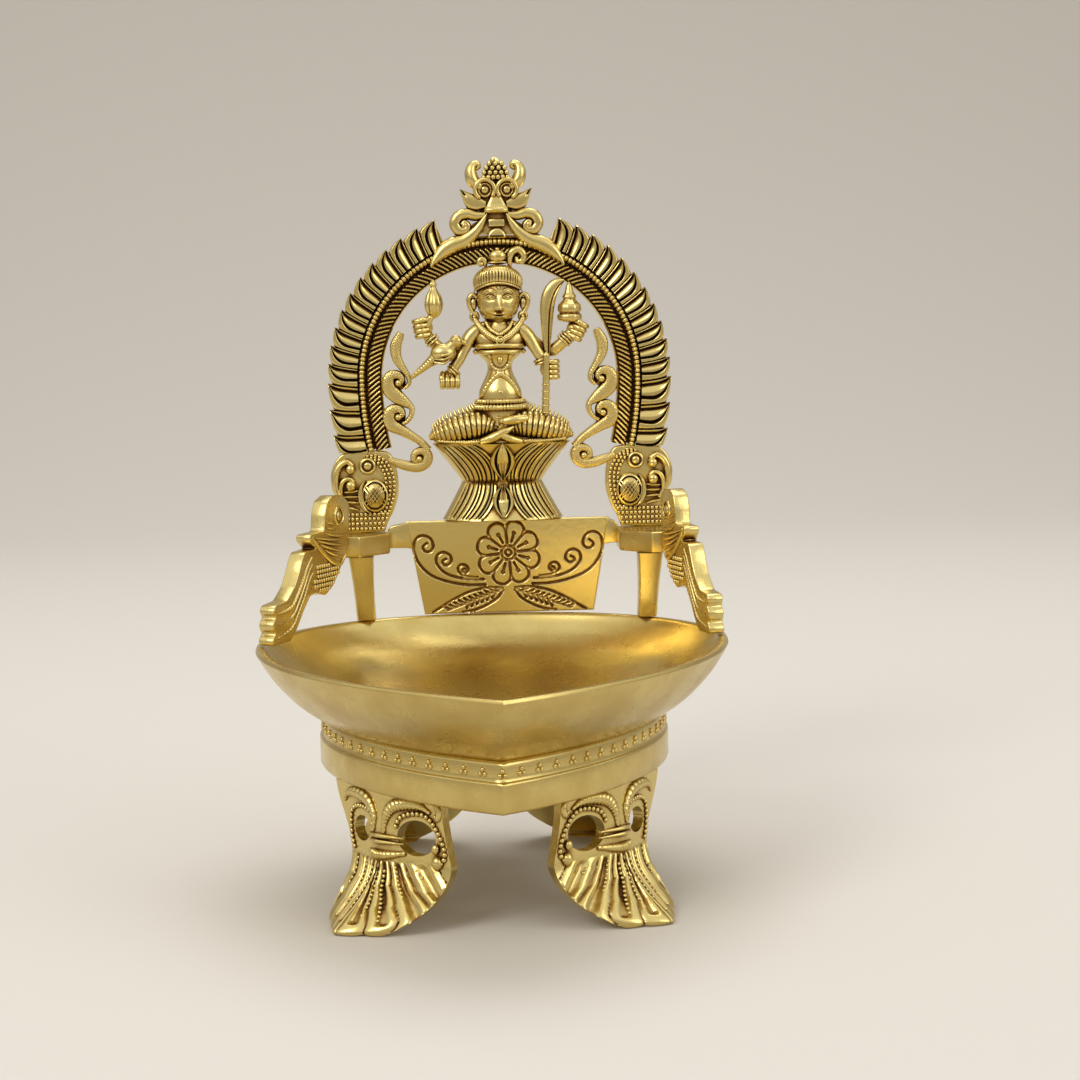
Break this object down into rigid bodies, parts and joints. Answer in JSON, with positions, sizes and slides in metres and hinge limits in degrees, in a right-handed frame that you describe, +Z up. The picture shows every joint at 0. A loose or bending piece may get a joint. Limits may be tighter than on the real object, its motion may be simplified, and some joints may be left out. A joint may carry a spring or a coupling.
{
  "type": "kamakshi lamp",
  "caption": "Cast brass oil lamp: a leaf-shaped bowl on a plinth with pierced bird feet, backed by a leaf-edged arch over a seated goddess on a lotus.",
  "frame": {"origin": "centre of the lamp's own box, on the surface it stands on", "axes": "+Z up, the pointed front of the bowl towards -Y, the arch and its support towards +Y, +X to the right as seen from the front"},
  "size_m": [0.1768, 0.213, 0.2738],
  "materials": {
    "satin_brass": "satin, smooth turned and filed cast brass",
    "carved_brass": "polished on the raised carving, brown antique patina in the grooves"
  },
  "bodies": {
    "root": {"plinth": "satin_brass", "oil_bowl": "satin_brass", "flower_panel": "satin_brass", "end_block_left": "satin_brass", "end_block_right": "satin_brass", "post_left": "satin_brass", "post_right": "satin_brass", "foot_front_left": "carved_brass", "foot_front_right": "carved_brass", "foot_rear_left": "carved_brass", "foot_rear_right": "carved_brass", "side_arm_left": "carved_brass", "side_arm_right": "carved_brass", "arch_bird_left": "carved_brass", "arch_bird_right": "carved_brass", "vine_scroll_left": "carved_brass", "vine_scroll_right": "carved_brass", "arch": "carved_brass", "crest": "carved_brass", "lotus_seat": "carved_brass", "goddess_figure": "carved_brass"}
  },
  "joints": []
}
